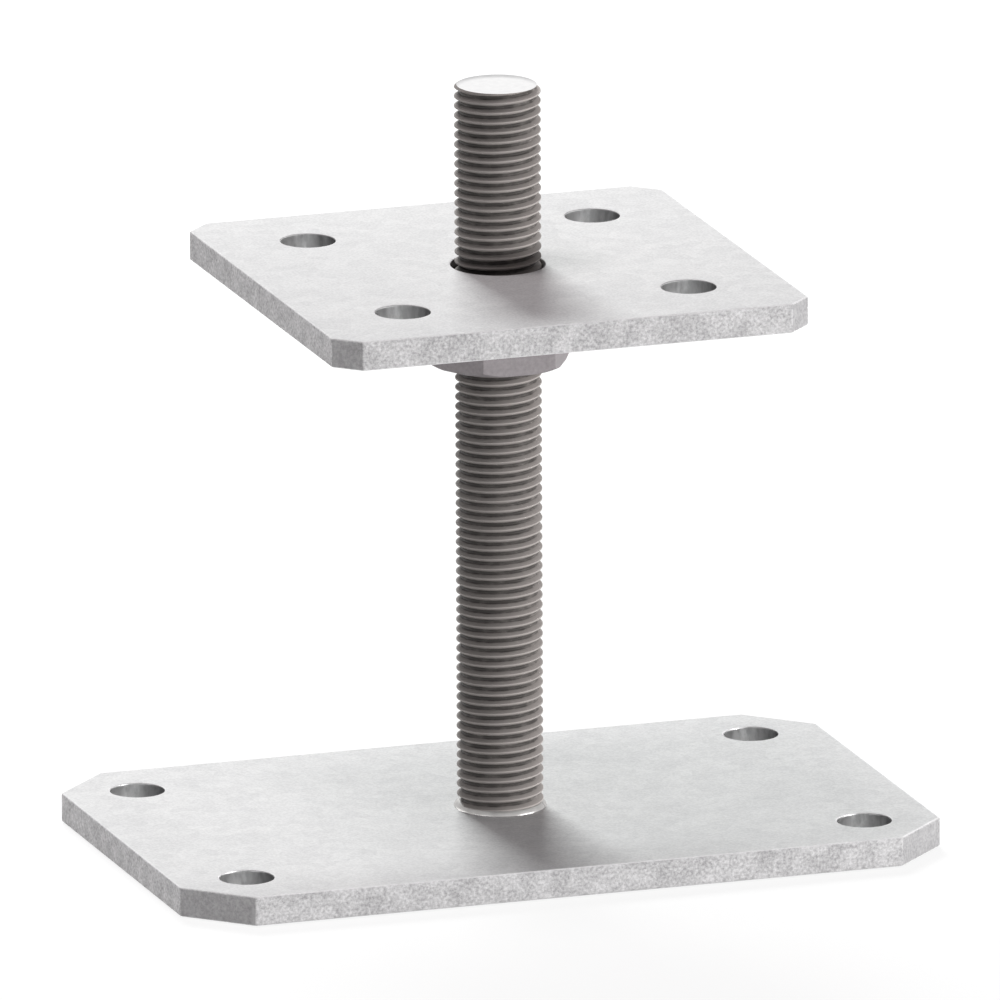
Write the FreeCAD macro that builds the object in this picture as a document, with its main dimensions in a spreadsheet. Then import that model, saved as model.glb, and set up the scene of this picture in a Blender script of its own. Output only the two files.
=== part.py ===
"""Adjustable post base: two steel plates on a threaded rod, with a nut that sets the height.

Frame: millimetres, +Z up, origin on the ground under the middle of the base plate.
X runs along the base plate's long side.
"""

import FreeCAD, Part
import os

import Sketcher

from FreeCAD import Vector

OUTPUT_FOLDER = "parts"

# Driving dimensions, in millimetres: (alias, value, what it is)
SIZES = [
    ("base_length", 160.0, "base plate, along X"),
    ("base_depth", 100.0, "base plate, along Y"),
    ("base_thickness", 6.0, "base plate"),
    ("base_corner_cut", 12.0, "leg of the 45 degree corner cuts"),
    ("base_hole_diameter", 11.0, "anchor holes"),
    ("base_hole_pitch_x", 130.0, "anchor holes, centre to centre along X"),
    ("base_hole_pitch_y", 70.0, "anchor holes, centre to centre along Y"),
    ("top_length", 100.0, "top plate, along X"),
    ("top_depth", 100.0, "top plate, along Y"),
    ("top_thickness", 6.0, "top plate"),
    ("top_corner_cut", 5.0, "leg of the 45 degree corner cuts"),
    ("top_hole_diameter", 11.0, "screw holes for the post"),
    ("top_hole_pitch_x", 60.0, "screw holes, centre to centre along X"),
    ("top_hole_pitch_y", 60.0, "screw holes, centre to centre along Y"),
    ("edge_radius", 0.4, "rounding of the plates' outer edges"),
    ("rim_chamfer", 0.3, "bevel at both ends of every hole in the plates"),
    ("rod_diameter", 17.5, "over the crests of an M18 thread cut undersize for its zinc coat"),
    ("rod_length", 149.0, "above the base plate"),
    ("rod_end_chamfer", 0.5, "at the rod's free end"),
    ("rod_showing", 37.0, "rod above the top plate, as stored"),
    ("rod_hole_clearance", 0.75, "radial, between rod and top plate"),
    ("nut_across_flats", 26.4, "hexagon, nominally 27"),
    ("nut_height", 14.0, "hexagon"),
    ("nut_corner_chamfer", 1.75, "radial width of the corner chamfers"),
    ("nut_chamfer_angle", 30.0, "corner chamfers, in degrees from the end face"),
    ("nut_running_clearance", 0.05, "radial, between rod and nut"),
    ("nut_countersink", 0.7, "radial width of the bore's countersinks"),
    ("nut_countersink_angle", 60.0, "countersinks, in degrees from the axis"),
    ("weld_width", 1.15, "weld bead, out from the rod"),
    ("weld_height", 1.4, "weld bead, up the rod"),
    ("weld_crown", 0.2, "rise of the bead's round face over a straight one"),
]

# Sizes worked out from the driving ones: (alias, formula, what it is)
DERIVED = [
    ("rod_top", "=base_thickness + rod_length", "height of the rod's free end"),
    ("seat_height", "=rod_top - rod_showing - top_thickness", "underside of the top plate"),
    ("nut_bottom", "=seat_height - nut_height", "height of the nut's lower face"),
    ("rod_hole_diameter", "=rod_diameter + 2 * rod_hole_clearance", "middle of the top plate"),
    ("nut_corner_radius", "=nut_across_flats / 2 / cos(30 deg)", "hexagon's corners"),
    ("nut_chamfer_radius", "=nut_corner_radius - nut_corner_chamfer", "inner end of the corner chamfers"),
    ("nut_clear_radius", "=nut_corner_radius * 1.1", "outside the corners, for their chamfer cuts"),
    ("nut_bore_radius", "=rod_diameter / 2 + nut_running_clearance", "bore"),
]

# The eight points of a plate's outline, in order: RIGHT_BACK ends the right side at the back, and so on
(
    RIGHT_BACK,
    BACK_RIGHT,
    BACK_LEFT,
    LEFT_BACK,
    LEFT_FRONT,
    FRONT_LEFT,
    FRONT_RIGHT,
    RIGHT_FRONT,
) = range(8)

doc = FreeCAD.newDocument("adjustable_post_base")


def fill_sheet():
    """Write every size into the spreadsheet, under its alias."""
    sheet = doc.addObject("Spreadsheet::Sheet", "sizes")
    for row, (alias, value, meaning) in enumerate(SIZES + DERIVED, start=1):
        sheet.set(f"A{row}", alias)
        sheet.set(f"B{row}", str(value))
        sheet.set(f"C{row}", meaning)
        sheet.setAlias(f"B{row}", alias)
    doc.recompute()
    return sheet


def size(alias):
    """The present value of a size, for first guesses in sketches."""
    return float(doc.sizes.get(alias))


def new_body(name, height=None):
    """A body of its own for one piece, standing at the height that a formula gives."""
    body = doc.addObject("PartDesign::Body", name)
    body.Label = name
    if height:
        body.setExpression(".Placement.Base.z", height)
    return body


def origin_plane(body, role):
    """One of the body's own origin planes or axes."""
    return next(item for item in body.Origin.OriginFeatures if item.Role == role)


def new_sketch(body, name, role="XY_Plane"):
    sketch = body.newObject("Sketcher::SketchObject", name)
    sketch.AttachmentSupport = [(origin_plane(body, role), "")]
    sketch.MapMode = "FlatFace"
    return sketch


def bind(sketch, constraint, formula):
    """Add a dimension to a sketch and tie it to a formula of the sheet."""
    index = sketch.addConstraint(constraint)
    sketch.setExpression(f"Constraints[{index}]", formula)


def closed_outline(sketch, points):
    """Straight edges from point to point and back to the first, joined at their ends."""
    count = len(points)
    for index in range(count):
        start = Vector(*points[index], 0)
        end = Vector(*points[(index + 1) % count], 0)
        sketch.addGeometry(Part.LineSegment(start, end))
    for index in range(count):
        sketch.addConstraint(Sketcher.Constraint("Coincident", index, 2, (index + 1) % count, 1))


def plate_outline(body, name, length, depth, corner_cut):
    """A rectangle about the origin, with its four corners cut at 45 degrees."""
    sketch = new_sketch(body, name)
    half_x = size(length) / 2
    half_y = size(depth) / 2
    cut = size(corner_cut)
    corners = [
        (half_x, half_y - cut),
        (half_x - cut, half_y),
        (cut - half_x, half_y),
        (-half_x, half_y - cut),
        (-half_x, cut - half_y),
        (cut - half_x, -half_y),
        (half_x - cut, -half_y),
        (half_x, cut - half_y),
    ]
    closed_outline(sketch, corners)
    x_axis, y_axis = -1, -2
    across = [
        (RIGHT_BACK, LEFT_BACK),
        (BACK_RIGHT, BACK_LEFT),
        (RIGHT_FRONT, LEFT_FRONT),
        (FRONT_RIGHT, FRONT_LEFT),
    ]
    for right, left in across:
        mirrored = Sketcher.Constraint("Symmetric", right, 1, left, 1, y_axis)
        sketch.addConstraint(mirrored)
    for back, front in ((RIGHT_BACK, RIGHT_FRONT), (BACK_RIGHT, FRONT_RIGHT)):
        mirrored = Sketcher.Constraint("Symmetric", back, 1, front, 1, x_axis)
        sketch.addConstraint(mirrored)
    full_length = Sketcher.Constraint("DistanceX", LEFT_BACK, 1, RIGHT_BACK, 1, 2 * half_x)
    full_depth = Sketcher.Constraint("DistanceY", FRONT_RIGHT, 1, BACK_RIGHT, 1, 2 * half_y)
    cut_along_x = Sketcher.Constraint("DistanceX", BACK_RIGHT, 1, RIGHT_BACK, 1, cut)
    cut_along_y = Sketcher.Constraint("DistanceY", RIGHT_BACK, 1, BACK_RIGHT, 1, cut)
    bind(sketch, full_length, f"sizes.{length}")
    bind(sketch, full_depth, f"sizes.{depth}")
    bind(sketch, cut_along_x, f"sizes.{corner_cut}")
    bind(sketch, cut_along_y, f"sizes.{corner_cut}")
    return sketch


def hole_sketch(body, name, diameter, pitch_x=None, pitch_y=None):
    """One circle: at the origin, or half a pitch out along both axes."""
    sketch = new_sketch(body, name)
    centre = Vector(0, 0, 0)
    if pitch_x:
        centre = Vector(size(pitch_x) / 2, size(pitch_y) / 2, 0)
    sketch.addGeometry(Part.Circle(centre, Vector(0, 0, 1), size(diameter) / 2))
    if pitch_x:
        across = Sketcher.Constraint("DistanceX", -1, 1, 0, 3, centre.x)
        along = Sketcher.Constraint("DistanceY", -1, 1, 0, 3, centre.y)
        bind(sketch, across, f"sizes.{pitch_x} / 2")
        bind(sketch, along, f"sizes.{pitch_y} / 2")
    else:
        sketch.addConstraint(Sketcher.Constraint("Coincident", 0, 3, -1, 1))
    bind(sketch, Sketcher.Constraint("Diameter", 0, size(diameter)), f"sizes.{diameter}")
    return sketch


def pad(body, sketch, name, length):
    feature = body.newObject("PartDesign::Pad", name)
    feature.Profile = sketch
    feature.setExpression("Length", length)
    doc.recompute()
    return feature


def drill_through(body, sketch, name):
    """Cut a sketch upwards through the whole piece, and make sure that it cut something."""
    before = body.Shape.Volume
    feature = body.newObject("PartDesign::Pocket", name)
    feature.Profile = sketch
    feature.Type = "ThroughAll"
    feature.Reversed = True
    doc.recompute()
    check_cut(body, name, before)
    return feature


def turn(body, sketch, name, kind):
    """Turn a sketch once round the body's Z axis: a Revolution adds, a Groove cuts."""
    before = body.Shape.Volume if kind == "Groove" else 0
    feature = body.newObject(f"PartDesign::{kind}", name)
    feature.Profile = sketch
    feature.ReferenceAxis = (origin_plane(body, "Z_Axis"), [""])
    feature.Angle = 360
    doc.recompute()
    if kind == "Groove":
        check_cut(body, name, before)
    return feature


def check_cut(body, name, volume_before):
    if body.Shape.Volume > volume_before - 1e-6:
        raise RuntimeError(f"{name} cut nothing from {body.Label}")


def mirror_to_corners(body, feature, name):
    """Repeat a feature in the other three quarters of the plate."""
    transform = body.newObject("PartDesign::MultiTransform", name)
    steps = []
    for role in ("YZ_Plane", "XZ_Plane"):
        step = doc.addObject("PartDesign::Mirrored", f"{name}_{role.lower()}")
        body.addObject(step)
        step.MirrorPlane = (origin_plane(body, role), [""])
        steps.append(step)
    transform.Originals = [feature]
    transform.Transformations = steps
    body.Tip = transform
    doc.recompute()
    return transform


def round_edges(body, feature, name):
    """Soften every edge of a plate's blank, as the zinc coat leaves them."""
    before = body.Shape.Volume
    fillet = body.newObject("PartDesign::Fillet", name)
    fillet.Base = (feature, [])
    fillet.UseAllEdges = True
    fillet.setExpression("Radius", "sizes.edge_radius")
    body.Tip = fillet
    doc.recompute()
    check_cut(body, name, before)
    return fillet


def bevel_rims(body, feature, name):
    """Bevel both ends of every hole in a plate."""
    before = body.Shape.Volume
    rims = []
    for index, edge in enumerate(feature.Shape.Edges, start=1):
        if edge.Degenerated or not edge.isClosed():
            continue
        if isinstance(edge.Curve, Part.Circle):
            rims.append(f"Edge{index}")
    chamfer = body.newObject("PartDesign::Chamfer", name)
    chamfer.Base = (feature, rims)
    chamfer.setExpression("Size", "sizes.rim_chamfer")
    body.Tip = chamfer
    doc.recompute()
    check_cut(body, name, before)
    return chamfer


def cut_plate(body, length, depth, thickness, corner_cut):
    """The flat blank of a plate, with cut corners and soft edges."""
    outline = plate_outline(body, f"{body.Label}_outline", length, depth, corner_cut)
    blank = pad(body, outline, f"{body.Label}_blank", f"sizes.{thickness}")
    return round_edges(body, blank, f"{body.Label}_edges")


def drill_corners(body, diameter, pitch_x, pitch_y):
    """A round hole near each corner of a plate."""
    circle = hole_sketch(body, f"{body.Label}_hole_circle", diameter, pitch_x, pitch_y)
    hole = drill_through(body, circle, f"{body.Label}_hole")
    return mirror_to_corners(body, hole, f"{body.Label}_holes")


def make_base_plate():
    """The plate that is anchored to the concrete and carries the rod."""
    body = new_body("base_plate")
    cut_plate(body, "base_length", "base_depth", "base_thickness", "base_corner_cut")
    holes = drill_corners(body, "base_hole_diameter", "base_hole_pitch_x", "base_hole_pitch_y")
    bevel_rims(body, holes, "base_plate_rims")
    return body


def make_top_plate():
    """The plate that the post is screwed to, with a hole in the middle that clears the rod."""
    body = new_body("top_plate", "sizes.seat_height")
    cut_plate(body, "top_length", "top_depth", "top_thickness", "top_corner_cut")
    drill_corners(body, "top_hole_diameter", "top_hole_pitch_x", "top_hole_pitch_y")
    circle = hole_sketch(body, "rod_hole_circle", "rod_hole_diameter")
    rod_hole = drill_through(body, circle, "rod_hole")
    bevel_rims(body, rod_hole, "top_plate_rims")
    return body


def make_rod():
    """The rod at its thread's outer diameter, with its free end chamfered."""
    body = new_body("threaded_rod", "sizes.base_thickness")
    sketch = new_sketch(body, "rod_half_section", "XZ_Plane")
    radius = size("rod_diameter") / 2
    length = size("rod_length")
    chamfer = size("rod_end_chamfer")
    section = [
        (0, 0),
        (radius, 0),
        (radius, length - chamfer),
        (radius - chamfer, length),
        (0, length),
    ]
    closed_outline(sketch, section)
    sketch.addConstraint(Sketcher.Constraint("Coincident", 0, 1, -1, 1))
    sketch.addConstraint(Sketcher.Constraint("Horizontal", 0))
    sketch.addConstraint(Sketcher.Constraint("Vertical", 1))
    sketch.addConstraint(Sketcher.Constraint("Horizontal", 3))
    sketch.addConstraint(Sketcher.Constraint("Vertical", 4))
    bind(sketch, Sketcher.Constraint("DistanceX", 0, 1, 0, 2, radius), "sizes.rod_diameter / 2")
    bind(sketch, Sketcher.Constraint("DistanceY", 4, 2, 4, 1, length), "sizes.rod_length")
    bind(sketch, Sketcher.Constraint("DistanceX", 2, 2, 2, 1, chamfer), "sizes.rod_end_chamfer")
    bind(sketch, Sketcher.Constraint("DistanceY", 2, 1, 2, 2, chamfer), "sizes.rod_end_chamfer")
    turn(body, sketch, "rod", "Revolution")
    return body


def make_weld_bead():
    """The ring of weld in the corner between the rod and the base plate."""
    body = new_body("weld_bead", "sizes.base_thickness")
    sketch = new_sketch(body, "weld_section", "XZ_Plane")
    inner = size("rod_diameter") / 2
    width = size("weld_width")
    height = size("weld_height")
    toe = Vector(inner + width, 0, 0)
    root = Vector(inner, 0, 0)
    crest = Vector(inner, height, 0)
    outward = Vector(height, width, 0).normalize()
    crown = (toe + crest) / 2 + outward * size("weld_crown")
    sketch.addGeometry(Part.LineSegment(crest, root))
    sketch.addGeometry(Part.LineSegment(root, toe))
    sketch.addGeometry(Part.Arc(toe, crown, crest))
    sketch.addConstraint(Sketcher.Constraint("Coincident", 0, 2, 1, 1))
    sketch.addConstraint(Sketcher.Constraint("Coincident", 1, 2, 2, 1))
    sketch.addConstraint(Sketcher.Constraint("Coincident", 2, 2, 0, 1))
    sketch.addConstraint(Sketcher.Constraint("Vertical", 0))
    sketch.addConstraint(Sketcher.Constraint("Horizontal", 1))
    sketch.addConstraint(Sketcher.Constraint("PointOnObject", 0, 2, -1))
    bind(sketch, Sketcher.Constraint("DistanceX", -1, 1, 0, 2, inner), "sizes.rod_diameter / 2")
    bind(sketch, Sketcher.Constraint("DistanceX", 1, 1, 1, 2, width), "sizes.weld_width")
    bind(sketch, Sketcher.Constraint("DistanceY", 0, 2, 0, 1, height), "sizes.weld_height")
    half_chord = "sqrt(sizes.weld_width ^ 2 + sizes.weld_height ^ 2) / 2"
    arc_radius = f"(({half_chord}) ^ 2 + sizes.weld_crown ^ 2) / (2 * sizes.weld_crown)"
    present_radius = sketch.Geometry[2].Radius
    bind(sketch, Sketcher.Constraint("Radius", 2, present_radius), arc_radius)
    turn(body, sketch, "bead", "Revolution")
    return body


def hexagon(body, name):
    """A hexagon about the origin, with two flats along X."""
    sketch = new_sketch(body, name)
    radius = size("nut_corner_radius")
    corners = []
    for index in range(6):
        direction = FreeCAD.Rotation(Vector(0, 0, 1), 60 * index).multVec(Vector(radius, 0, 0))
        corners.append((direction.x, direction.y))
    closed_outline(sketch, corners)
    circle = sketch.addGeometry(Part.Circle(Vector(0, 0, 0), Vector(0, 0, 1), radius), True)
    sketch.addConstraint(Sketcher.Constraint("Coincident", circle, 3, -1, 1))
    for index in range(6):
        sketch.addConstraint(Sketcher.Constraint("PointOnObject", index, 1, circle))
    for index in range(5):
        sketch.addConstraint(Sketcher.Constraint("Equal", index, index + 1))
    sketch.addConstraint(Sketcher.Constraint("PointOnObject", 0, 1, -1))
    bind(sketch, Sketcher.Constraint("Radius", circle, radius), "sizes.nut_corner_radius")
    return sketch


def corner_chamfer_sketch(body, name, upper):
    """The triangle that takes the hexagon's corners off one end face, in half section."""
    sketch = new_sketch(body, name, "XZ_Plane")
    inner = size("nut_chamfer_radius")
    outer = size("nut_clear_radius")
    rise = size("nut_height") / 6
    face = size("nut_height") if upper else 0
    side = -rise if upper else rise
    closed_outline(sketch, [(inner, face), (outer, face), (outer, face + side)])
    sketch.addConstraint(Sketcher.Constraint("Horizontal", 0))
    sketch.addConstraint(Sketcher.Constraint("Vertical", 1))
    if upper:
        height = Sketcher.Constraint("DistanceY", -1, 1, 0, 1, face)
        bind(sketch, height, "sizes.nut_height")
    else:
        sketch.addConstraint(Sketcher.Constraint("PointOnObject", 0, 1, -1))
    bind(sketch, Sketcher.Constraint("DistanceX", -1, 1, 0, 1, inner), "sizes.nut_chamfer_radius")
    width = "sizes.nut_clear_radius - sizes.nut_chamfer_radius"
    depth = f"({width}) * tan(sizes.nut_chamfer_angle * 1 deg)"
    bind(sketch, Sketcher.Constraint("DistanceX", 0, 1, 0, 2, outer - inner), width)
    if upper:
        bind(sketch, Sketcher.Constraint("DistanceY", 1, 2, 1, 1, rise), depth)
    else:
        bind(sketch, Sketcher.Constraint("DistanceY", 1, 1, 1, 2, rise), depth)
    return sketch


def bore_sketch(body, name):
    """The nut's bore with a countersink at each end, in half section."""
    sketch = new_sketch(body, name, "XZ_Plane")
    bore = size("nut_bore_radius")
    mouth = bore + size("nut_countersink")
    height = size("nut_height")
    depth = size("nut_countersink") / 2
    section = [
        (0, 0),
        (mouth, 0),
        (bore, depth),
        (bore, height - depth),
        (mouth, height),
        (0, height),
    ]
    closed_outline(sketch, section)
    sketch.addConstraint(Sketcher.Constraint("Coincident", 0, 1, -1, 1))
    sketch.addConstraint(Sketcher.Constraint("Horizontal", 0))
    sketch.addConstraint(Sketcher.Constraint("Vertical", 2))
    sketch.addConstraint(Sketcher.Constraint("Horizontal", 4))
    sketch.addConstraint(Sketcher.Constraint("Vertical", 5))
    sketch.addConstraint(Sketcher.Constraint("Equal", 1, 3))
    bind(sketch, Sketcher.Constraint("DistanceY", 5, 2, 5, 1, height), "sizes.nut_height")
    mouth_radius = "sizes.nut_bore_radius + sizes.nut_countersink"
    bind(sketch, Sketcher.Constraint("DistanceX", 0, 1, 0, 2, mouth), mouth_radius)
    bind(sketch, Sketcher.Constraint("DistanceX", 4, 2, 4, 1, mouth), mouth_radius)
    bind(sketch, Sketcher.Constraint("DistanceX", 1, 2, 1, 1, mouth - bore), "sizes.nut_countersink")
    sink_depth = "sizes.nut_countersink / tan(sizes.nut_countersink_angle * 1 deg)"
    bind(sketch, Sketcher.Constraint("DistanceY", 1, 1, 1, 2, depth), sink_depth)
    return sketch


def make_nut():
    """The hexagon nut, its corners chamfered at both ends, with a bore that runs freely on the rod."""
    body = new_body("hex_nut", "sizes.nut_bottom")
    pad(body, hexagon(body, "nut_hexagon"), "nut_blank", "sizes.nut_height")
    turn(body, corner_chamfer_sketch(body, "lower_chamfer", False), "lower_corners", "Groove")
    turn(body, corner_chamfer_sketch(body, "upper_chamfer", True), "upper_corners", "Groove")
    turn(body, bore_sketch(body, "nut_bore_section"), "nut_bore", "Groove")
    return body


def check_document():
    """Stop if any object of the document failed to compute."""
    for item in doc.Objects:
        if "Invalid" in item.State or "Error" in item.State:
            raise RuntimeError(f"{item.Label} failed: {item.State}")


def write_piece(body):
    """Check one piece and write it to its own file."""
    shape = body.Shape
    if shape.isNull() or not shape.isValid() or len(shape.Solids) != 1:
        raise RuntimeError(f"{body.Label} is not one valid solid")
    shape.exportStep(f"{OUTPUT_FOLDER}/{body.Label}.step")
    box = shape.optimalBoundingBox(False, False)
    print(f"{body.Label}: volume {shape.Volume:.1f} mm3, z {box.ZMin:.2f} to {box.ZMax:.2f}")


def main():
    os.makedirs(OUTPUT_FOLDER, exist_ok=True)
    fill_sheet()
    pieces = [make_base_plate(), make_rod(), make_weld_bead(), make_nut(), make_top_plate()]
    doc.recompute()
    check_document()
    for piece in pieces:
        write_piece(piece)


main()
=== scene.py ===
"""Blender scene of the adjustable post base: two galvanised plates on a threaded rod, with its nut.

Shapes are worked out in millimetres and made in metres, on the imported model's axes.
"""

import math

import bmesh
import bpy
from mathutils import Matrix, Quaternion, Vector


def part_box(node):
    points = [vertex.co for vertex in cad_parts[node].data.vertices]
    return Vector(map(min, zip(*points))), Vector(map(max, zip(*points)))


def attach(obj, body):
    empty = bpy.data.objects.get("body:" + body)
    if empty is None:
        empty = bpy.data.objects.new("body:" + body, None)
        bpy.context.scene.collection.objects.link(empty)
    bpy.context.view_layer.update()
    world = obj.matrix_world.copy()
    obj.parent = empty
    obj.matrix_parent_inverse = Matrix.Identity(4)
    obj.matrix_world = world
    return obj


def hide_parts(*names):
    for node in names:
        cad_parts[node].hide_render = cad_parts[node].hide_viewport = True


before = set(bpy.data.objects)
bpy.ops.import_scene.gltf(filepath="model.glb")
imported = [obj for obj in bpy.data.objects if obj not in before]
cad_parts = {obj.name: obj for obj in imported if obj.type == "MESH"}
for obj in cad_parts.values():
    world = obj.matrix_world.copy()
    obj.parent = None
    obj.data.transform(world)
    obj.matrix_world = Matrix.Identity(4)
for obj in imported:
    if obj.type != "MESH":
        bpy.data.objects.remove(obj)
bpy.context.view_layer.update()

MM = 0.001

# Plates, in millimetres
BASE_CORNER_CUT = 12.0
BASE_HOLE_PITCH = (130.0, 70.0)
TOP_CORNER_CUT = 5.0
TOP_HOLE_PITCH = (60.0, 60.0)
SCREW_HOLE_RADIUS = 5.5
ROD_HOLE_RADIUS = 9.5
EDGE_RADIUS = 0.45
CORNER_RADIUS = 0.8
RIM_RADIUS = 0.3

# How finely the plates' rounded places are divided
SCREW_HOLE_POINTS = 96
ROD_HOLE_POINTS = 144
CORNER_STEPS = 4
EDGE_STEPS = 5
# So many of an edge's steps, next to a hole's straight wall, take the wall's material
WALL_MARGIN = 2

# Thread, in millimetres
PITCH = 2.0
CREST_RADIUS = 8.68
ROOT_RADIUS = 7.6
END_CHAMFER = 0.5
STEPS_PER_TURN = 64
# Turns of the helix beyond the rod's length, which are cut off
SPARE_TURNS = 3
# Where a crest passes the rod's free end: its height above the end and its angle, in degrees
CREST_OVER_END = 0.1
CREST_ANGLE = 251.2
# One flank, from the crest to the root: (height from the crest, radius). It is straight and leans
# 30 degrees, with a small rounding at each end.
THREAD_FLANK = [
    (0.11, CREST_RADIUS - 0.012),
    (0.17, CREST_RADIUS - 0.06),
    (0.68, ROOT_RADIUS + 0.13),
    (0.76, ROOT_RADIUS + 0.045),
    (0.86, ROOT_RADIUS + 0.01),
]

# Nut, in millimetres
NUT_HALF_FLATS = 13.2
NUT_CHAMFER_RADIUS = 13.49
NUT_CHAMFER_SLOPE = math.tan(math.radians(30))
NUT_BORE_RADIUS = 8.8
NUT_UPRIGHT_EDGE = 0.3
NUT_FACE_EDGE = 0.12
NUT_FOLD_EDGE = 0.06
NUT_FLAT_STEPS = 28
NUT_EDGE_STEPS = 5
# The countersunk mouth of the bore: (out from the bore, down from the end face)
NUT_MOUTH = [(0.0, 2.2), (0.0, 0.45), (0.06, 0.37), (0.62, 0.05), (0.75, 0.0)]

# Weld bead, in millimetres
WELD_INNER_RADIUS = 7.7
WELD_OUTER_RADIUS = 9.3
WELD_HEIGHT = 1.3
# 0 is a straight slope from the rod to the plate, 1 a quarter round
WELD_ROUNDNESS = 0.85
WELD_STEPS = 240
WELD_SECTION_STEPS = 16
# Waves round the bead that make its edge uneven: (how many, shift in radians, share)
WELD_WAVES = [(3, 0.7, 1.0), (7, 2.0, 0.6), (16, 0.0, 0.4)]
WELD_EDGE_SWAY = 0.04
WELD_TOP_SWAY = 0.02
WELD_TOP_WAVES = 5
WELD_TOP_WAVE_HEIGHT = 0.04


def area_normals(verts, faces):
    """A normal for each point, led by the largest faces round it, so that flats look flat."""
    sums = [Vector((0, 0, 0)) for _ in verts]
    for face in faces:
        points = [Vector(verts[index]) for index in face]
        area = Vector((0, 0, 0))
        for first, second in zip(points[1:], points[2:]):
            area += (first - points[0]).cross(second - points[0])
        for index in face:
            sums[index] += area
    return [total.normalized() for total in sums]


def place_mesh(mesh):
    """An object of the mesh's name that shows it."""
    obj = bpy.data.objects.new(mesh.name, mesh)
    bpy.context.scene.collection.objects.link(obj)
    return obj


def smooth_piece(name, verts, faces, normals=None):
    """A smooth-shaded object from points in millimetres, with its true normals where known."""
    mesh = bpy.data.meshes.new(name)
    mesh.from_pydata([tuple(c * MM for c in v) for v in verts], [], faces)
    mesh.shade_smooth()
    mesh.normals_split_custom_set_from_vertices(normals or area_normals(verts, faces))
    mesh.update()
    return place_mesh(mesh)


def swept_faces(steps, width):
    """Quads between closed sections of so many points, set in a ring of so many steps."""
    faces = []
    for step in range(steps):
        here = step * width
        there = (step + 1) % steps * width
        for i in range(width):
            j = (i + 1) % width
            faces.append((here + i, here + j, there + j, there + i))
    return faces


# Plates


def rounded_outline(half_x, half_y, cut):
    """Points of a cut-cornered plate's outline with their outward directions, counterclockwise.

    Each of the eight corners is an arc about its own centre, so the outline can be offset.
    """
    corners = [
        (half_x, half_y - cut, 0),
        (half_x - cut, half_y, 45),
        (cut - half_x, half_y, 90),
        (-half_x, half_y - cut, 135),
        (-half_x, cut - half_y, 180),
        (cut - half_x, -half_y, 225),
        (half_x - cut, -half_y, 270),
        (half_x, cut - half_y, 315),
    ]
    turn = 45
    reach = CORNER_RADIUS / math.cos(math.radians(turn / 2))
    points = []
    for x, y, start in corners:
        middle = math.radians(start + turn / 2)
        centre = (x - reach * math.cos(middle), y - reach * math.sin(middle))
        for step in range(CORNER_STEPS + 1):
            angle = math.radians(start + turn * step / CORNER_STEPS)
            direction = (math.cos(angle), math.sin(angle))
            point = (
                centre[0] + CORNER_RADIUS * direction[0],
                centre[1] + CORNER_RADIUS * direction[1],
            )
            points.append((point, direction))
    return points


def circle_outline(centre, radius, count):
    """Points of a hole's wall with their directions into the hole, counterclockwise."""
    points = []
    for step in range(count):
        angle = 2 * math.pi * step / count
        direction = (-math.cos(angle), -math.sin(angle))
        point = (centre[0] - radius * direction[0], centre[1] - radius * direction[1])
        points.append((point, direction))
    return points


def edge_rings(bottom, top, radius):
    """Rings down a plate's rounded edge: (angle above level, height of the rounding's centre)."""
    shares = [step / EDGE_STEPS for step in range(EDGE_STEPS + 1)]
    upper = [(math.pi / 2 * (1 - share), top - radius) for share in shares]
    lower = [(-math.pi / 2 * share, bottom + radius) for share in shares]
    return upper + lower


def fill_flat(verts, loops, upwards):
    """Triangles between an outer loop and the holes in it, as index triples."""
    bm = bmesh.new()
    made = {index: bm.verts.new(verts[index]) for loop in loops for index in loop}
    back = {vert: index for index, vert in made.items()}
    edges = []
    for loop in loops:
        for a, b in zip(loop, loop[1:] + loop[:1]):
            edges.append(bm.edges.new((made[a], made[b])))
    filled = bmesh.ops.triangle_fill(bm, edges=edges, use_beauty=True, use_dissolve=False)
    triangles = []
    for item in filled["geom"]:
        if not isinstance(item, bmesh.types.BMFace):
            continue
        indices = [back[vert] for vert in item.verts]
        item.normal_update()
        if (item.normal.z > 0) != upwards:
            indices.reverse()
        triangles.append(tuple(indices))
    bm.free()
    return triangles


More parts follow.
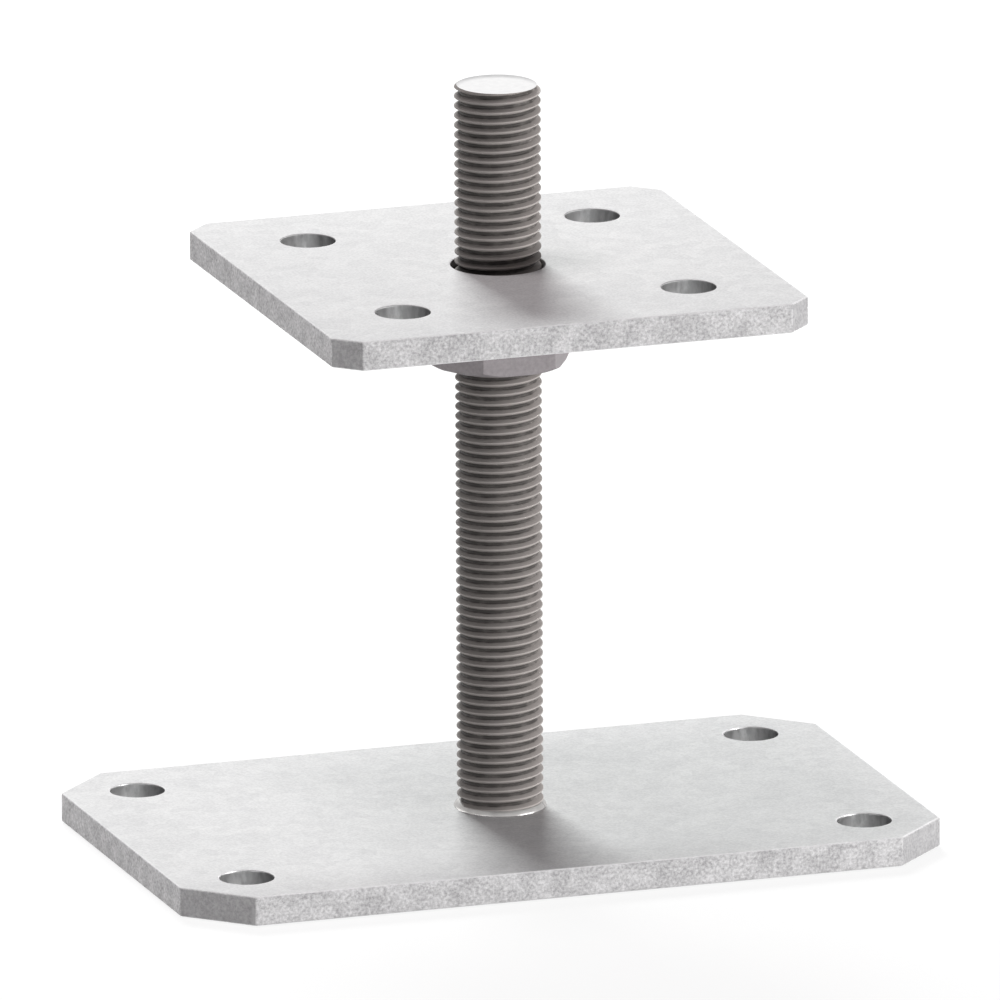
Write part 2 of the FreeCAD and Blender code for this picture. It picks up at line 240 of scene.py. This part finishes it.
def plate(name, node, cut, hole_pitch, rod_hole=False):
    """A flat plate with rounded edges and rims, in the place and size of its CAD node.

    Its second material is for the walls of the screw holes.
    """
    low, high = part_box(node)
    bottom, top = low.z / MM, high.z / MM
    # (points and directions, radius of the rounding, what the loop is)
    loops = [(rounded_outline(high.x / MM, high.y / MM, cut), EDGE_RADIUS, "outer edge")]
    for side_x in (-0.5, 0.5):
        for side_y in (-0.5, 0.5):
            centre = (side_x * hole_pitch[0], side_y * hole_pitch[1])
            circle = circle_outline(centre, SCREW_HOLE_RADIUS, SCREW_HOLE_POINTS)
            loops.append((circle, RIM_RADIUS, "screw hole"))
    if rod_hole:
        circle = circle_outline((0, 0), ROD_HOLE_RADIUS, ROD_HOLE_POINTS)
        loops.append((circle, RIM_RADIUS, "rod hole"))

    verts, normals, faces, wall_faces = [], [], [], []
    top_loops, bottom_loops = [], []
    for points, radius, kind in loops:
        starts = []
        for angle, level in edge_rings(bottom, top, radius):
            starts.append(len(verts))
            inset = radius * (1 - math.cos(angle))
            for (x, y), (dx, dy) in points:
                verts.append((x - inset * dx, y - inset * dy, level + radius * math.sin(angle)))
                normals.append((dx * math.cos(angle), dy * math.cos(angle), math.sin(angle)))
        count = len(points)
        for step, (upper, lower) in enumerate(zip(starts, starts[1:])):
            near_wall = abs(step - EDGE_STEPS) <= WALL_MARGIN
            for i in range(count):
                j = (i + 1) % count
                quad = (upper + i, lower + i, lower + j, upper + j)
                if kind == "screw hole" and near_wall:
                    wall_faces.append(len(faces))
                faces.append(quad if kind == "outer edge" else quad[::-1])
        top_loops.append([starts[0] + i for i in range(count)])
        bottom_loops.append([starts[-1] + i for i in range(count)])
    faces += fill_flat(verts, top_loops, upwards=True)
    faces += fill_flat(verts, bottom_loops, upwards=False)

    piece = smooth_piece(name, verts, faces, normals)
    for index in wall_faces:
        piece.data.polygons[index].material_index = 1
    return piece


# Threaded rod


def thread_skin(foot, top):
    """The helical thread as points and faces, open at both ends and longer than the rod."""
    rising = [(-height, radius) for height, radius in reversed(THREAD_FLANK)]
    profile = rising + [(0.0, CREST_RADIUS)] + THREAD_FLANK + [(PITCH / 2, ROOT_RADIUS)]
    width = len(profile)
    turns = math.ceil((top - foot) / PITCH) + SPARE_TURNS
    rows = turns * STEPS_PER_TURN + 1
    first_crest = top + CREST_OVER_END - turns * PITCH + PITCH
    verts, faces = [], []
    for row in range(rows):
        turned = row / STEPS_PER_TURN
        angle = math.radians(CREST_ANGLE) + 2 * math.pi * turned
        for rise, radius in profile:
            z = first_crest + PITCH * turned + rise
            verts.append((radius * math.cos(angle), radius * math.sin(angle), z))
    for row in range(rows - 1):
        for i in range(width - 1):
            a = row * width + i
            faces.append((a, a + width, a + width + 1, a + 1))
        # the last point of a turn joins the first point of the turn above it
        above = row + STEPS_PER_TURN
        if above + 1 < rows:
            a = row * width + width - 1
            b = above * width
            faces.append((a, a + width, b + width, b))
    return verts, faces


def cut_level(bm, level, side=None):
    """Divide the mesh at a level. With side 1 what is above goes, with side -1 what is below."""
    bmesh.ops.bisect_plane(
        bm,
        geom=bm.verts[:] + bm.edges[:] + bm.faces[:],
        plane_co=(0, 0, level),
        plane_no=(0, 0, side or 1),
        clear_outer=side is not None,
    )


def cap_end(bm, level, upwards):
    """Close the thread's open end at a level with flat faces of the second material."""
    near = 1e-4
    rim = [
        edge
        for edge in bm.edges
        if edge.is_boundary and all(abs(vert.co.z - level) < near for vert in edge.verts)
    ]
    filled = bmesh.ops.triangle_fill(bm, edges=rim, use_beauty=True)
    for face in filled["geom"]:
        if not isinstance(face, bmesh.types.BMFace):
            continue
        face.material_index = 1
        face.smooth = False
        face.normal_update()
        if (face.normal.z > 0) != upwards:
            face.normal_flip()


def threaded_rod():
    """The rod with its helical thread, cut off flat at both ends and chamfered at the upper one.

    The attribute depth runs from 0 at the thread's root to 1 at its crest.
    """
    low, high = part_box("threaded_rod")
    foot, top = low.z / MM, high.z / MM
    blank = bpy.data.meshes.new("thread_blank")
    verts, faces = thread_skin(foot, top)
    blank.from_pydata(verts, [], faces)
    bm = bmesh.new()
    bm.from_mesh(blank)
    bpy.data.meshes.remove(blank)
    cut_level(bm, top - END_CHAMFER)
    cut_level(bm, top - END_CHAMFER / 2)
    cut_level(bm, top, side=1)
    cut_level(bm, foot, side=-1)
    for vert in bm.verts:
        over = vert.co.z - (top - END_CHAMFER)
        radius = math.hypot(vert.co.x, vert.co.y)
        limit = CREST_RADIUS - over
        if over > 0 and radius > limit:
            vert.co.x *= limit / radius
            vert.co.y *= limit / radius
    bm.normal_update()
    for face in bm.faces:
        face.smooth = True
    cap_end(bm, top, upwards=True)
    cap_end(bm, foot, upwards=False)
    for edge in bm.edges:
        if len({face.material_index for face in edge.link_faces}) > 1:
            edge.smooth = False
    depth = bm.verts.layers.float.new("depth")
    for vert in bm.verts:
        radius = math.hypot(vert.co.x, vert.co.y)
        vert[depth] = max(0.0, (radius - ROOT_RADIUS) / (CREST_RADIUS - ROOT_RADIUS))
    bmesh.ops.scale(bm, vec=(MM, MM, MM), verts=bm.verts[:])
    mesh = bpy.data.meshes.new("rod_thread")
    bm.to_mesh(mesh)
    bm.free()

    points = [vert.co.copy() for vert in mesh.vertices]
    skin = [tuple(face.vertices) for face in mesh.polygons if face.material_index == 0]
    skin_normals = area_normals(points, skin)
    corner_normals = []
    for face in mesh.polygons:
        flat = face.normal.copy()
        for index in face.vertices:
            corner_normals.append(flat if face.material_index else skin_normals[index])
    mesh.normals_split_custom_set(corner_normals)
    return place_mesh(mesh)


# Nut


def hexagon_outline():
    """Points round the nut, counterclockwise, with its upright edges rounded."""
    # half a side of a hexagon that measures 2 across its flats
    half_side = math.tan(math.radians(30))
    straight = (NUT_HALF_FLATS - NUT_UPRIGHT_EDGE) * half_side
    points = []
    for side in range(6):
        middle = math.radians(30 + 60 * side)
        outward = Vector((math.cos(middle), math.sin(middle)))
        along = Vector((-outward.y, outward.x))
        for step in range(NUT_FLAT_STEPS + 1):
            share = 2 * step / NUT_FLAT_STEPS - 1
            points.append(outward * NUT_HALF_FLATS + along * straight * share)
        centre = outward * (NUT_HALF_FLATS - NUT_UPRIGHT_EDGE) + along * straight
        for step in range(1, NUT_EDGE_STEPS):
            angle = middle + math.radians(60 * step / NUT_EDGE_STEPS)
            direction = Vector((math.cos(angle), math.sin(angle)))
            points.append(centre + NUT_UPRIGHT_EDGE * direction)
    return points


def nut_section(radius, height):
    """Half section at the angle where the hexagon has this radius, from the bore and back to it."""

    def level(at):
        return height - max(0.0, at - NUT_CHAMFER_RADIUS) * NUT_CHAMFER_SLOPE

    fold = min(NUT_CHAMFER_RADIUS, radius - 3 * NUT_FACE_EDGE)
    slight = 0.3 * NUT_FACE_EDGE
    upper = [(NUT_BORE_RADIUS + out, height - down) for out, down in NUT_MOUTH]
    upper += [
        (fold - NUT_FOLD_EDGE, height),
        (fold + NUT_FOLD_EDGE, level(fold + NUT_FOLD_EDGE)),
        (radius - NUT_FACE_EDGE, level(radius - NUT_FACE_EDGE)),
        (radius - slight, level(radius) - slight),
        (radius, level(radius) - NUT_FACE_EDGE),
    ]
    lower = [(r, height - z) for r, z in reversed(upper)]
    return upper + lower


def hexagon_nut():
    """The nut: a hexagon with corners chamfered at both ends and a countersunk bore."""
    low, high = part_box("hex_nut")
    bottom = low.z / MM
    height = (high.z - low.z) / MM
    outline = hexagon_outline()
    verts = []
    for point in outline:
        section = nut_section(point.length, height)
        outward = point.normalized()
        for radius, z in section:
            verts.append((radius * outward.x, radius * outward.y, bottom + z))
    return smooth_piece("hex_nut_body", verts, swept_faces(len(outline), len(section)))


# Weld


def weld_ring():
    """A smooth ring of weld round the rod's foot, a little uneven in width and height."""
    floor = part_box("weld_bead")[0].z / MM
    straightness = 1 - WELD_ROUNDNESS
    verts = []
    for step in range(WELD_STEPS):
        angle = 2 * math.pi * step / WELD_STEPS
        outward = (math.cos(angle), math.sin(angle))
        sway = sum(share * math.sin(waves * angle + shift) for waves, shift, share in WELD_WAVES)
        width = WELD_OUTER_RADIUS + WELD_EDGE_SWAY * sway - WELD_INNER_RADIUS
        tall = WELD_HEIGHT + WELD_TOP_SWAY * sway
        tall += WELD_TOP_WAVE_HEIGHT * math.sin(WELD_TOP_WAVES * angle)
        section = []
        for i in range(WELD_SECTION_STEPS + 1):
            share = i / WELD_SECTION_STEPS
            turned = math.pi / 2 * share
            out = straightness * share + WELD_ROUNDNESS * math.sin(turned)
            up = straightness * (1 - share) + WELD_ROUNDNESS * math.cos(turned)
            section.append((WELD_INNER_RADIUS + width * out, floor + tall * up))
        section.append((WELD_INNER_RADIUS, floor))
        verts += [(radius * outward[0], radius * outward[1], z) for radius, z in section]
    return smooth_piece("weld_ring", verts, swept_faces(WELD_STEPS, len(section)))


# Materials


class Shader:
    """A Principled material, built node by node in the object's own space."""

    def __init__(self, name):
        self.material = bpy.data.materials.new(name)
        self.material.use_nodes = True
        self.tree = self.material.node_tree
        self.main = self.tree.nodes["Principled BSDF"]
        self.place = self.tree.nodes.new("ShaderNodeTexCoord")

    def link(self, source, target):
        """Link two sockets."""
        self.tree.links.new(source, target)

    def calc(self, operation, first, second=0.0, clamp=False):
        """A Math node's result, from sockets or plain numbers."""
        node = self.tree.nodes.new("ShaderNodeMath")
        node.operation = operation
        node.use_clamp = clamp
        for socket, value in zip(node.inputs, (first, second)):
            if isinstance(value, (int, float)):
                socket.default_value = value
            else:
                self.link(value, socket)
        return node.outputs[0]

    def weigh(self, first, second, share):
        """The first value by its share, and the second by the rest."""
        part = self.calc("MULTIPLY", first, share)
        rest = self.calc("MULTIPLY", second, 1 - share)
        return self.calc("ADD", part, rest)

    def pattern(self, kind, scale, shift, stretch=(1, 1, 1)):
        """A texture node on the object. scale is in features per metre."""
        node = self.tree.nodes.new(kind)
        node.inputs["Scale"].default_value = scale
        mapping = self.tree.nodes.new("ShaderNodeMapping")
        mapping.inputs["Location"].default_value = shift
        mapping.inputs["Scale"].default_value = stretch
        self.link(self.place.outputs["Object"], mapping.inputs["Vector"])
        self.link(mapping.outputs["Vector"], node.inputs["Vector"])
        return node

    def noise(self, scale, detail, roughness, stretch=(1, 1, 1), seed=0.0):
        """Smooth noise from 0 to 1."""
        shift = (seed, seed * 0.7, seed * 0.3)
        node = self.pattern("ShaderNodeTexNoise", scale, shift, stretch)
        node.inputs["Detail"].default_value = detail
        node.inputs["Roughness"].default_value = roughness
        return node.outputs["Fac"]

    def crystals(self, scale, seed):
        """Flat cells of random brightness, as zinc crystals."""
        node = self.pattern("ShaderNodeTexVoronoi", scale, (seed, seed, seed))
        split = self.tree.nodes.new("ShaderNodeSeparateColor")
        self.link(node.outputs["Color"], split.inputs["Color"])
        return split.outputs["Red"]

    def remap(self, value, low, high, to_low, to_high):
        """A value moved from one range to another, and held at its ends."""
        node = self.tree.nodes.new("ShaderNodeMapRange")
        self.link(value, node.inputs["Value"])
        node.inputs["From Min"].default_value = low
        node.inputs["From Max"].default_value = high
        node.inputs["To Min"].default_value = to_low
        node.inputs["To Max"].default_value = to_high
        return node.outputs["Result"]

    def ramp(self, value, stops):
        """A colour from a value, by stops of (value, colour)."""
        node = self.tree.nodes.new("ShaderNodeValToRGB")
        self.link(value, node.inputs["Fac"])
        elements = node.color_ramp.elements
        while len(elements) < len(stops):
            elements.new(0.5)
        for element, (position, colour) in zip(elements, stops):
            element.position = position
            element.color = (*colour, 1)
        return node.outputs["Color"]

    def mix(self, factor, first, second, blend="MIX"):
        """Two colours mixed by a number or a socket."""
        node = self.tree.nodes.new("ShaderNodeMix")
        node.data_type = "RGBA"
        node.blend_type = blend
        for name, value in (("Factor", factor), ("A", first), ("B", second)):
            socket = next(s for s in node.inputs if s.name == name and s.enabled)
            if isinstance(value, (int, float)):
                socket.default_value = value
            else:
                self.link(value, socket)
        return next(s for s in node.outputs if s.name == "Result" and s.enabled)

    def grey(self, value):
        """A grey of a value, which may pass 1."""
        node = self.tree.nodes.new("ShaderNodeCombineColor")
        for socket in node.inputs:
            self.link(value, socket)
        return node.outputs["Color"]

    def coordinate(self, kind, axis):
        """X, Y or Z of the object's own Normal, or of a point, called Object and in metres."""
        split = self.tree.nodes.new("ShaderNodeSeparateXYZ")
        self.link(self.place.outputs[kind], split.inputs["Vector"])
        return split.outputs[axis]

    def upright(self):
        """1 on faces that stand upright, 0 on level ones."""
        level = self.calc("ABSOLUTE", self.coordinate("Normal", "Z"))
        return self.remap(level, 0.9, 0.4, 0.0, 1.0)

    def corner_cut(self):
        """1 on upright faces that stand across a corner, 0 on the others."""
        both = self.calc("MULTIPLY", self.coordinate("Normal", "X"), self.coordinate("Normal", "Y"))
        return self.remap(self.calc("ABSOLUTE", both), 0.4, 0.48, 0.0, 1.0)

    def distance(self, centre):
        """How far a point lies from an upright line through centre, in metres."""
        squares = []
        for axis, middle in zip("XY", centre):
            away = self.calc("SUBTRACT", self.coordinate("Object", axis), middle)
            squares.append(self.calc("POWER", away, 2.0))
        return self.calc("SQRT", self.calc("ADD", *squares))

    def attribute(self, name):
        """A value stored on the mesh's points."""
        node = self.tree.nodes.new("ShaderNodeAttribute")
        node.attribute_name = name
        return node.outputs["Fac"]

    def finish(self, tone, roughness, height, strength, depth, metallic, specular):
        """Set the main shader from a colour, a roughness and a bump's height, and give the material.

        depth is the bump's, in metres.
        """
        self.link(tone, self.main.inputs["Base Color"])
        self.link(roughness, self.main.inputs["Roughness"])
        bump = self.tree.nodes.new("ShaderNodeBump")
        bump.inputs["Strength"].default_value = strength
        bump.inputs["Distance"].default_value = depth
        self.link(height, bump.inputs["Height"])
        self.link(bump.outputs["Normal"], self.main.inputs["Normal"])
        self.main.inputs["Metallic"].default_value = metallic
        self.main.inputs["Specular IOR Level"].default_value = specular
        return self.material


def plate_zinc():
    """Pale, matt zinc: faint crystals and mottling on the faces, a fine grain on the cut edges,
    which are painted darker than the faces as shade, and darker still on the corner cuts.
    """
    shader = Shader("zinc_on_plate")
    cloud = shader.noise(55, 3, 0.55, seed=5.2)
    mottle = shader.noise(420, 4, 0.6)
    crystal = shader.crystals(300, seed=1.7)
    speck = shader.noise(1900, 2, 0.6, seed=3.1)
    face_tone = shader.ramp(cloud, [(0.3, (0.68, 0.68, 0.685)), (0.7, (0.76, 0.757, 0.757))])
    # (share, pattern, its dark and its light tone)
    layers = [
        (0.4, mottle, (0.3, (0.62, 0.62, 0.622)), (0.7, (0.81, 0.81, 0.81))),
        (0.25, crystal, (0.0, (0.60, 0.60, 0.61)), (1.0, (0.86, 0.86, 0.86))),
        (0.3, speck, (0.35, (0.56, 0.56, 0.56)), (0.65, (0.88, 0.88, 0.88))),
    ]
    for share, pattern, dark, light in layers:
        face_tone = shader.mix(share, face_tone, shader.ramp(pattern, [dark, light]))
    grain = shader.noise(1500, 3, 0.7, seed=8.4)
    patch = shader.noise(260, 3, 0.6, seed=11.3)
    ramp_input = shader.weigh(grain, patch, 0.7)
    # painted shade: the upright edges are darker than the level faces; their fine grain is real
    edge_grain_and_shade = shader.ramp(ramp_input, [(0.38, (0.29, 0.286, 0.29)), (0.62, (0.57, 0.565, 0.57))])
    # painted shade: the corner cuts are darker still
    corner_cut_shade = shader.ramp(ramp_input, [(0.38, (0.27, 0.266, 0.27)), (0.62, (0.39, 0.386, 0.39))])
    upright_grain_and_shade = shader.mix(shader.corner_cut(), edge_grain_and_shade, corner_cut_shade)
    return shader.finish(
        tone=shader.mix(shader.upright(), face_tone, upright_grain_and_shade),
        roughness=shader.remap(speck, 0.3, 0.7, 0.6, 0.78),
        height=shader.weigh(grain, mottle, 0.6),
        strength=0.3,
        depth=0.00012,
        metallic=0.0,
        specular=0.0,
    )


def hole_zinc():
    """Satin zinc on the drilled walls: painted light with a painted highlight where they face +X,
    painted shade where they face -X.
    """
    shader = Shader("zinc_in_holes")
    mottle = shader.noise(900, 3, 0.6, stretch=(1, 1, 0.4), seed=2.8)
    uneven = shader.remap(mottle, 0.3, 0.7, -0.16, 0.16)
    # painted light and shade: the tone follows which way the wall faces along X, with a random shift
    run = shader.calc("ADD", shader.coordinate("Normal", "X"), uneven)
    # painted shade towards 0, painted light from 0.6, and a painted highlight peaking at 0.85
    stops = [
        (0.0, (0.16, 0.16, 0.162)),
        (0.35, (0.36, 0.36, 0.363)),
        (0.6, (0.82, 0.82, 0.822)),
        (0.85, (0.88, 0.88, 0.88)),
        (1.0, (0.6, 0.6, 0.6)),
    ]
    return shader.finish(
        tone=shader.ramp(shader.remap(run, -1.0, 1.0, 0.0, 1.0), stops),
        roughness=shader.remap(mottle, 0.3, 0.7, 0.34, 0.46),
        height=mottle,
        strength=0.15,
        depth=0.0001,
        metallic=0.85,
        specular=0.4,
    )


def thread_zinc():
    """Zinc coat on the thread: warm dark grey, with painted shade darkest at the bottom of the
    groove and painted light on its +X side.
    """
    shader = Shader("zinc_on_thread")
    smear = shader.noise(300, 4, 0.6, stretch=(1, 1, 2.5))
    fine = shader.noise(2200, 2, 0.6, seed=4.4)
    uneven = shader.remap(smear, 0.3, 0.7, -0.12, 0.12)
    # painted shade: the ramp follows depth, so the groove is painted darkest at its root; a random
    # smear shifts it
    ramp_input = shader.calc("ADD", shader.attribute("depth"), uneven)
    # painted light: the rod's +X side is painted lighter, and more so in the groove
    side = shader.coordinate("Object", "X")
    painted_light_in_groove = shader.remap(side, 0.001, 0.008, 0.0, 0.13)
    ramp_input = shader.calc("ADD", ramp_input, painted_light_in_groove, clamp=True)
    stops = [
        (0.0, (0.045, 0.041, 0.039)),
        (0.10, (0.075, 0.069, 0.065)),
        (0.32, (0.225, 0.207, 0.198)),
        (1.0, (0.275, 0.254, 0.243)),
    ]
    # painted light and shade: the whole tone is scaled from 0.74 on the rod's -X side to 1.27 on its
    # +X side
    share = shader.remap(side, -0.0085, 0.0085, 0.74, 1.27)
    return shader.finish(
        tone=shader.mix(1.0, shader.ramp(ramp_input, stops), shader.grey(share), "MULTIPLY"),
        roughness=shader.remap(fine, 0.3, 0.7, 0.42, 0.6),
        height=shader.calc("ADD", fine, smear),
        strength=0.3,
        depth=0.00006,
        metallic=0.0,
        specular=0.06,
    )


def end_zinc():
    """The rod's sawn end under its coat: bright, with a darker band along its back rim that is
    painted shade.
    """
    shader = Shader("zinc_on_rod_end")
    fine = shader.noise(900, 3, 0.6, seed=6.6)
    bright = shader.ramp(fine, [(0.3, (0.80, 0.80, 0.802)), (0.7, (0.86, 0.86, 0.86))])
    # painted shade: the darker tone of the band
    painted_shade_tone = shader.ramp(fine, [(0.3, (0.50, 0.50, 0.505)), (0.7, (0.58, 0.58, 0.58))])
    # painted shade mask: 1 beyond a circle set off towards -Y, so along the +Y rim
    painted_shade_mask = shader.remap(shader.distance((-0.0010, -0.0030)), 0.0076, 0.0096, 0.0, 1.0)
    return shader.finish(
        tone=shader.mix(painted_shade_mask, bright, painted_shade_tone),
        roughness=shader.remap(fine, 0.3, 0.7, 0.4, 0.55),
        height=fine,
        strength=0.2,
        depth=0.00006,
        metallic=0.0,
        specular=0.0,
    )


def nut_zinc():
    """Mid grey satin zinc with a faint fine grain."""
    shader = Shader("zinc_on_nut")
    streak = shader.noise(160, 4, 0.6, stretch=(0.35, 0.35, 5.0), seed=1.1)
    mottle = shader.noise(1300, 3, 0.6, seed=9.1)
    streaks = shader.ramp(streak, [(0.3, (0.18, 0.166, 0.171)), (0.7, (0.222, 0.205, 0.211))])
    grain = shader.ramp(mottle, [(0.3, (0.157, 0.145, 0.15)), (0.7, (0.25, 0.231, 0.238))])
    return shader.finish(
        tone=shader.mix(0.45, streaks, grain),
        roughness=shader.remap(mottle, 0.3, 0.7, 0.45, 0.6),
        height=shader.calc("ADD", streak, mottle),
        strength=0.25,
        depth=0.00008,
        metallic=0.0,
        specular=0.12,
    )


def weld_zinc():
    """Weld metal under a glossy run of zinc."""
    shader = Shader("zinc_on_weld")
    mottle = shader.noise(380, 3, 0.6, seed=7.7)
    return shader.finish(
        tone=shader.ramp(mottle, [(0.3, (0.32, 0.312, 0.304)), (0.7, (0.43, 0.42, 0.41))]),
        roughness=shader.remap(mottle, 0.3, 0.7, 0.26, 0.38),
        height=mottle,
        strength=0.08,
        depth=0.0001,
        metallic=0.5,
        specular=0.4,
    )


# Stage, lamps and camera, in metres

AIM = Vector((0.0, 0.0, 0.075))

WORLD_TINT = (1.0, 0.93, 0.95, 1)
WORLD_STRENGTH = 0.165

FLOOR_HALF = 1.6
FLOOR_LEVEL = -0.0002
# What the camera sees is a glow, and a dark diffuse part that carries the shadow
FLOOR_GLOW = 0.87
FLOOR_SHADOW_TONE = (0.16, 0.16, 0.16, 1)
FLOOR_BOUNCE_TONE = (0.3, 0.3, 0.3, 1)

LAMP_DISTANCE = 1.2
# The fill lamps stand just above the floor, so that they light upright faces and not level ones
FILL_ELEVATION = -1.9
FILL_HEIGHT = 0.06

CAMERA_AWAY = Vector((-0.30691, -0.91651, 0.25654))
CAMERA_DISTANCE = 9.0
CAMERA_WIDTH = 0.19981
CAMERA_ROLL = math.radians(-0.2375)
CAMERA_SHIFT = (0.000232, -0.005646)
CAMERA_FAR = 20.0


def whiten_background(tree, seen_output, lit_output, output_socket):
    """Seen version for the camera, reflections and glass, and the lit version for all else."""
    path = tree.nodes.new("ShaderNodeLightPath").outputs
    seen_by = path["Is Camera Ray"]
    for other in (path["Is Glossy Ray"], path["Is Transmission Ray"]):
        either = tree.nodes.new("ShaderNodeMath")
        either.operation = "MAXIMUM"
        tree.links.new(seen_by, either.inputs[0])
        tree.links.new(other, either.inputs[1])
        seen_by = either.outputs[0]
    mix = tree.nodes.new("ShaderNodeMixShader")
    tree.links.new(seen_by, mix.inputs["Fac"])
    tree.links.new(lit_output, mix.inputs[1])
    tree.links.new(seen_output, mix.inputs[2])
    tree.links.new(mix.outputs[0], output_socket)


def build_world():
    """An even, faint surround that looks white."""
    world = bpy.data.worlds.new("studio")
    bpy.context.scene.world = world
    world.use_nodes = True
    tree = world.node_tree
    lit = tree.nodes["Background"]
    lit.inputs["Color"].default_value = WORLD_TINT
    lit.inputs["Strength"].default_value = WORLD_STRENGTH
    seen = tree.nodes.new("ShaderNodeBackground")
    seen.inputs["Color"].default_value = (1, 1, 1, 1)
    seen.inputs["Strength"].default_value = 1.0
    output = tree.nodes["World Output"].inputs["Surface"]
    whiten_background(tree, seen.outputs[0], lit.outputs[0], output)


def build_floor():
    """A pale floor: white but for the object's faint shadow, and grey where it bounces light."""
    corners = [(-1, -1), (1, -1), (1, 1), (-1, 1)]
    mesh = bpy.data.meshes.new("floor")
    mesh.from_pydata([(x * FLOOR_HALF, y * FLOOR_HALF, 0) for x, y in corners], [], [(0, 1, 2, 3)])
    floor = place_mesh(mesh)
    floor.location.z = FLOOR_LEVEL
    material = bpy.data.materials.new("floor_white")
    material.use_nodes = True
    tree = material.node_tree
    tree.nodes.remove(tree.nodes["Principled BSDF"])
    shadow_keeper = tree.nodes.new("ShaderNodeBsdfDiffuse")
    shadow_keeper.inputs["Color"].default_value = FLOOR_SHADOW_TONE
    glow = tree.nodes.new("ShaderNodeEmission")
    glow.inputs["Strength"].default_value = FLOOR_GLOW
    seen = tree.nodes.new("ShaderNodeAddShader")
    tree.links.new(shadow_keeper.outputs[0], seen.inputs[0])
    tree.links.new(glow.outputs[0], seen.inputs[1])
    lit = tree.nodes.new("ShaderNodeBsdfDiffuse")
    lit.inputs["Color"].default_value = FLOOR_BOUNCE_TONE
    output = tree.nodes["Material Output"].inputs["Surface"]
    whiten_background(tree, seen.outputs[0], lit.outputs[0], output)
    mesh.materials.append(material)


def area_lamp(name, azimuth, elevation, width, height, strength, colour=(1, 1, 1)):
    """A lamp at LAMP_DISTANCE that faces the object. azimuth is counterclockwise from +X.

    With strength 1, a face turned to it gets as much light as from a white surround of strength 1.
    """
    lamp = bpy.data.lights.new(name, "AREA")
    lamp.shape = "RECTANGLE"
    lamp.size = width
    lamp.size_y = height
    lamp.energy = strength * (math.pi * LAMP_DISTANCE) ** 2
    lamp.color = colour
    flat = math.cos(math.radians(elevation))
    away = Vector(
        (
            flat * math.cos(math.radians(azimuth)),
            flat * math.sin(math.radians(azimuth)),
            math.sin(math.radians(elevation)),
        )
    )
    holder = bpy.data.objects.new(name, lamp)
    holder.location = AIM + away * LAMP_DISTANCE
    holder.rotation_euler = away.to_track_quat("Z", "Y").to_euler()
    holder.visible_camera = False
    bpy.context.scene.collection.objects.link(holder)


def build_lamps():
    """A key lamp behind the object, a soft one overhead and three low ones round it."""
    area_lamp("key", 82.5, 40, 0.42, 0.45, strength=1.17, colour=(0.972, 1.0, 0.992))
    area_lamp("overhead", 170, 75, 0.4, 0.4, strength=0.24, colour=(1.0, 0.94, 0.955))
    area_lamp("fill_right", -42, FILL_ELEVATION, 0.7, FILL_HEIGHT, strength=1.42)
    area_lamp("fill_left", -150, FILL_ELEVATION, 0.9, FILL_HEIGHT, strength=0.55)
    area_lamp("fill_back", 135, FILL_ELEVATION, 0.7, FILL_HEIGHT, strength=0.25)


def build_camera():
    """A distant camera, turned slightly about its own axis, as in the photograph."""
    away = CAMERA_AWAY.normalized()
    turned = away.to_track_quat("Z", "Y") @ Quaternion((0, 0, 1), CAMERA_ROLL)
    rightward = turned @ Vector((1, 0, 0))
    upward = turned @ Vector((0, 1, 0))
    data = bpy.data.cameras.new("camera")
    data.lens = data.sensor_width * CAMERA_DISTANCE / CAMERA_WIDTH
    data.clip_end = CAMERA_FAR
    camera = bpy.data.objects.new("camera", data)
    aim = AIM + rightward * CAMERA_SHIFT[0] + upward * CAMERA_SHIFT[1]
    camera.location = aim + away * CAMERA_DISTANCE
    camera.rotation_euler = turned.to_euler()
    bpy.context.scene.collection.objects.link(camera)
    bpy.context.scene.camera = camera


def dress(piece, body, node, slot, *materials):
    """Give a piece its materials, tie it to its body and hide the CAD node it replaces."""
    for material in materials:
        piece.data.materials.append(material)
    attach(piece, body)
    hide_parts(node)


bpy.context.scene.view_settings.view_transform = "Standard"
build_camera()
build_world()
build_floor()
build_lamps()

base_plate = plate("base_plate_body", "base_plate", BASE_CORNER_CUT, BASE_HOLE_PITCH)
top_plate = plate("top_plate_body", "top_plate", TOP_CORNER_CUT, TOP_HOLE_PITCH, rod_hole=True)
plate_materials = (plate_zinc(), hole_zinc())
dress(base_plate, "base", "base_plate", "galvanised_plate", *plate_materials)
dress(top_plate, "top_plate", "top_plate", "galvanised_plate", *plate_materials)
dress(threaded_rod(), "base", "threaded_rod", "galvanised_thread", thread_zinc(), end_zinc())
dress(hexagon_nut(), "nut", "hex_nut", "galvanised_nut", nut_zinc())
dress(weld_ring(), "base", "weld_bead", "galvanised_weld", weld_zinc())
